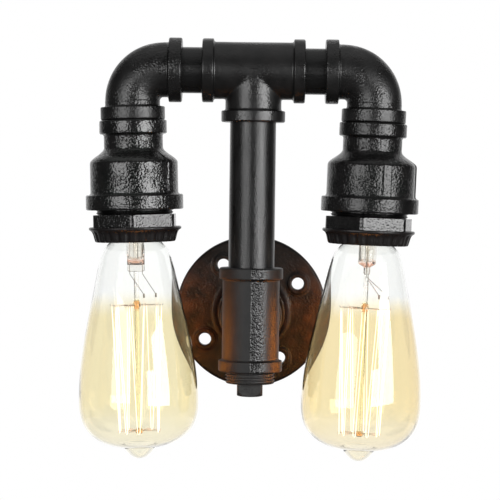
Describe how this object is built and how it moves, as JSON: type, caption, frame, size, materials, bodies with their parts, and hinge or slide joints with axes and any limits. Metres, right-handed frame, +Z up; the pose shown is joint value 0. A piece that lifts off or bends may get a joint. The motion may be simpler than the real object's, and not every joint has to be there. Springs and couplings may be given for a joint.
{
  "type": "wall lamp",
  "caption": "Industrial double wall lamp made of screwed black iron pipe fittings, with a round wall flange and two tall amber glass bulbs hanging from swinging elbows.",
  "frame": {"origin": "centre of the wall flange's back face, on the wall", "axes": "+Y into the wall, +X along the wall to the right as seen from the room, +Z up"},
  "size_m": [0.1842, 0.1072, 0.2268],
  "materials": {
    "iron_fitting": "gloss black paint over rough malleable casting",
    "iron_pipe": "gloss black paint over drawn steel tube",
    "flange_iron": "warm black paint over rough casting",
    "blackened_ring": "blackened, fluted",
    "bakelite": "moulded phenolic, semi-gloss",
    "porcelain": "unglazed",
    "brass": "pressed and drawn",
    "nickel": "nickel plated",
    "amber_glass": "clear amber tint, polished",
    "clear_glass": "clear, fire-polished",
    "filament_glow": "lit filament wire",
    "steel_wire": "drawn wire",
    "vitrite": "black glass insulator",
    "solder": "solder, dull",
    "cable_sheath": "matt sheath",
    "block_plastic": "moulded polyamide"
  },
  "bodies": {
    "root": {"wall_flange": "flange_iron", "flange_nipple": "iron_pipe", "lower_tee": "iron_fitting", "square_plug": "iron_fitting", "upright_pipe": "iron_pipe", "upper_tee": "iron_fitting", "left_cross_nipple": "iron_pipe", "right_cross_nipple": "iron_pipe", "left_feed_cable": "cable_sheath", "right_feed_cable": "cable_sheath", "supply_block": "block_plastic", "supply_block_screws": "brass"},
    "left_arm": {"left_elbow": "iron_fitting", "left_close_nipple": "iron_pipe", "left_reducer": "iron_fitting", "left_hex_bushing": "iron_fitting", "left_shade_ring": "blackened_ring", "left_holder_dome": "bakelite", "left_holder_skirt": "bakelite", "left_holder_core": "porcelain", "left_screw_shell": "brass", "left_centre_contact": "brass", "left_terminals": "brass", "left_terminal_screws": "nickel", "left_arm_cable": "cable_sheath"},
    "left_bulb_tip": {"left_bulb_tip": "solder"},
    "left_bulb": {"left_cap_insulator": "vitrite", "left_bulb_cap": "nickel", "left_bulb_glass": "amber_glass", "left_bulb_stem": "clear_glass", "left_lead_wires": "steel_wire", "left_filament_hooks": "steel_wire", "left_filament": "filament_glow"},
    "right_arm": {"right_elbow": "iron_fitting", "right_close_nipple": "iron_pipe", "right_reducer": "iron_fitting", "right_hex_bushing": "iron_fitting", "right_shade_ring": "blackened_ring", "right_holder_dome": "bakelite", "right_holder_skirt": "bakelite", "right_holder_core": "porcelain", "right_screw_shell": "brass", "right_centre_contact": "brass", "right_terminals": "brass", "right_terminal_screws": "nickel", "right_arm_cable": "cable_sheath"},
    "right_bulb_tip": {"right_bulb_tip": "solder"},
    "right_bulb": {"right_cap_insulator": "vitrite", "right_bulb_cap": "nickel", "right_bulb_glass": "amber_glass", "right_bulb_stem": "clear_glass", "right_lead_wires": "steel_wire", "right_filament_hooks": "steel_wire", "right_filament": "filament_glow"}
  },
  "joints": [
    {"name": "left_arm_swing", "type": "hinge", "parent": "root", "child": "left_arm", "pos_m": [-0.03305, -0.075, 0.1337], "axis": [1, 0, 0], "range_deg": [-90, 12]},
    {"name": "left_bulb_travel", "type": "slide", "parent": "left_arm", "child": "left_bulb_tip", "axis": [0.0314, 0, -0.9995], "range_m": [0, 0.0145]},
    {"name": "left_bulb_screw", "type": "hinge", "parent": "left_bulb_tip", "child": "left_bulb", "pos_m": [-0.0655, -0.075, 0.1337], "axis": [0.0314, 0, -0.9995], "range_deg": [0, 1440]},
    {"name": "right_arm_swing", "type": "hinge", "parent": "root", "child": "right_arm", "pos_m": [0.03305, -0.075, 0.1337], "axis": [1, 0, 0], "range_deg": [-90, 12]},
    {"name": "right_bulb_travel", "type": "slide", "parent": "right_arm", "child": "right_bulb_tip", "axis": [-0.0314, 0, -0.9995], "range_m": [0, 0.0145]},
    {"name": "right_bulb_screw", "type": "hinge", "parent": "right_bulb_tip", "child": "right_bulb", "pos_m": [0.0655, -0.075, 0.1337], "axis": [-0.0314, 0, -0.9995], "range_deg": [0, 1440]}
  ],
  "couplings": [
    {"joint": "left_bulb_screw", "follows": "left_bulb_travel", "rad_per_m": 1731.4},
    {"joint": "right_bulb_screw", "follows": "right_bulb_travel", "rad_per_m": 1731.4}
  ]
}
